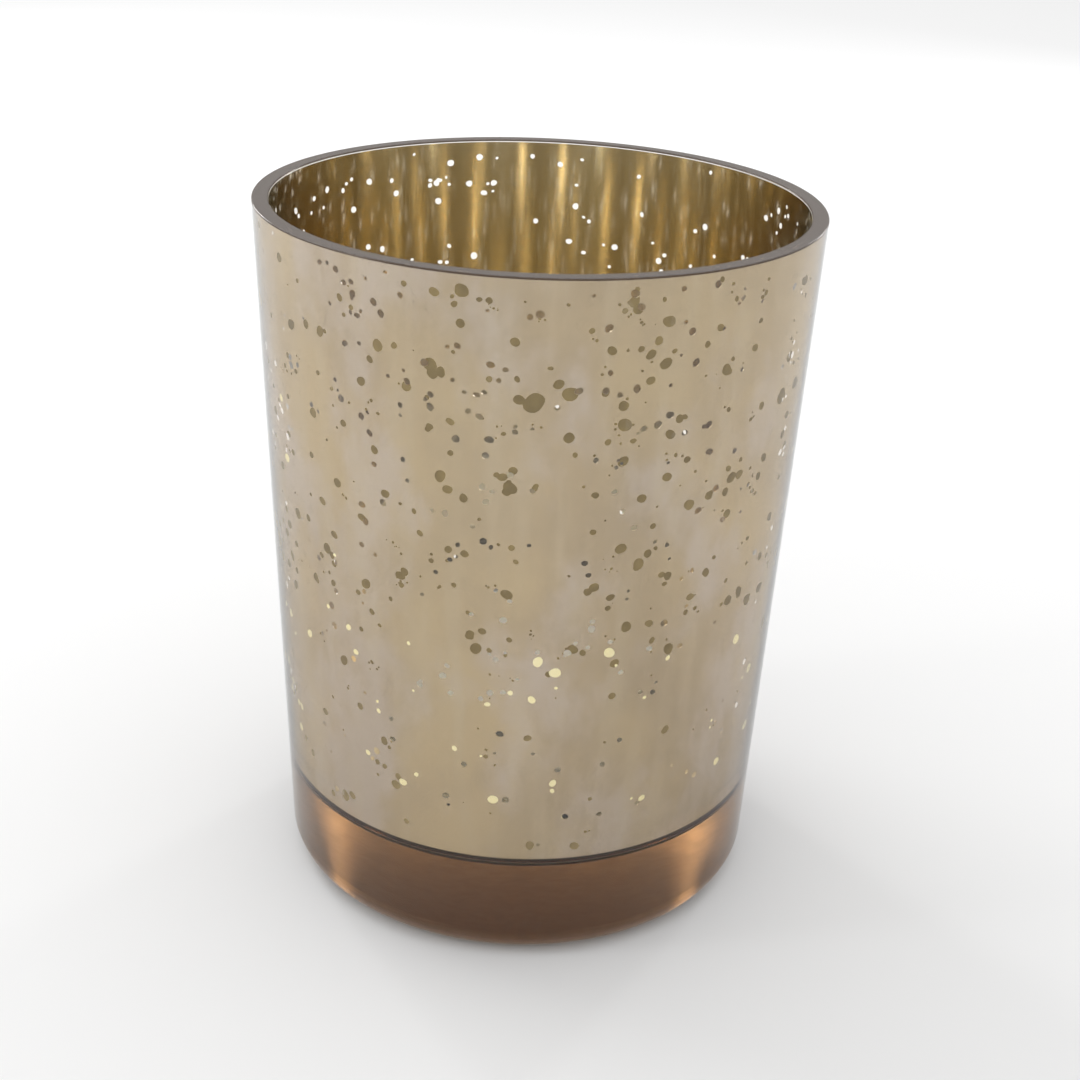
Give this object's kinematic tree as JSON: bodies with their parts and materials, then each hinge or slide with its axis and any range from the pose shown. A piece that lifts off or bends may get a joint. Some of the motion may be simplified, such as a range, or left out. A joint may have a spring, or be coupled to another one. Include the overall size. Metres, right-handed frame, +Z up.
{
  "type": "tealight holder",
  "caption": "Tapered tumbler of tinted glass with a heavy base, mirrored inside in silver and gold, with a lift-out tealight.",
  "frame": {"origin": "centre of the face that the tumbler stands on", "axes": "+Z up along the tumbler's axis, from the foot to the rim; X and Y are alike"},
  "size_m": [0.07, 0.07, 0.09],
  "materials": {
    "tinted_glass": "clear pressed glass with a light brown tint, fire polished, with a ground rim",
    "silver_mirror": "champagne silver mirror film with bare specks, seen through the glass",
    "gold_lacquer": "glossy gold lacquer with bare specks",
    "aluminium_foil": "bright drawn aluminium foil with fine pleats",
    "wax": "smooth white paraffin wax, slightly translucent",
    "cotton_wick": "braided cotton, waxed",
    "tinplate": "bright pressed tinplate"
  },
  "bodies": {
    "holder": {"glass_tumbler": "tinted_glass", "silver_mirror_coat": "silver_mirror", "gold_lacquer_coat": "gold_lacquer"},
    "tealight": {"tealight_cup": "aluminium_foil", "wax_fill": "wax", "wick": "cotton_wick", "wick_sustainer": "tinplate"}
  },
  "joints": [
    {"name": "tealight_lift", "type": "slide", "parent": "holder", "child": "tealight", "axis": [0, 0, 1], "range_m": [0, 0.1]}
  ]
}
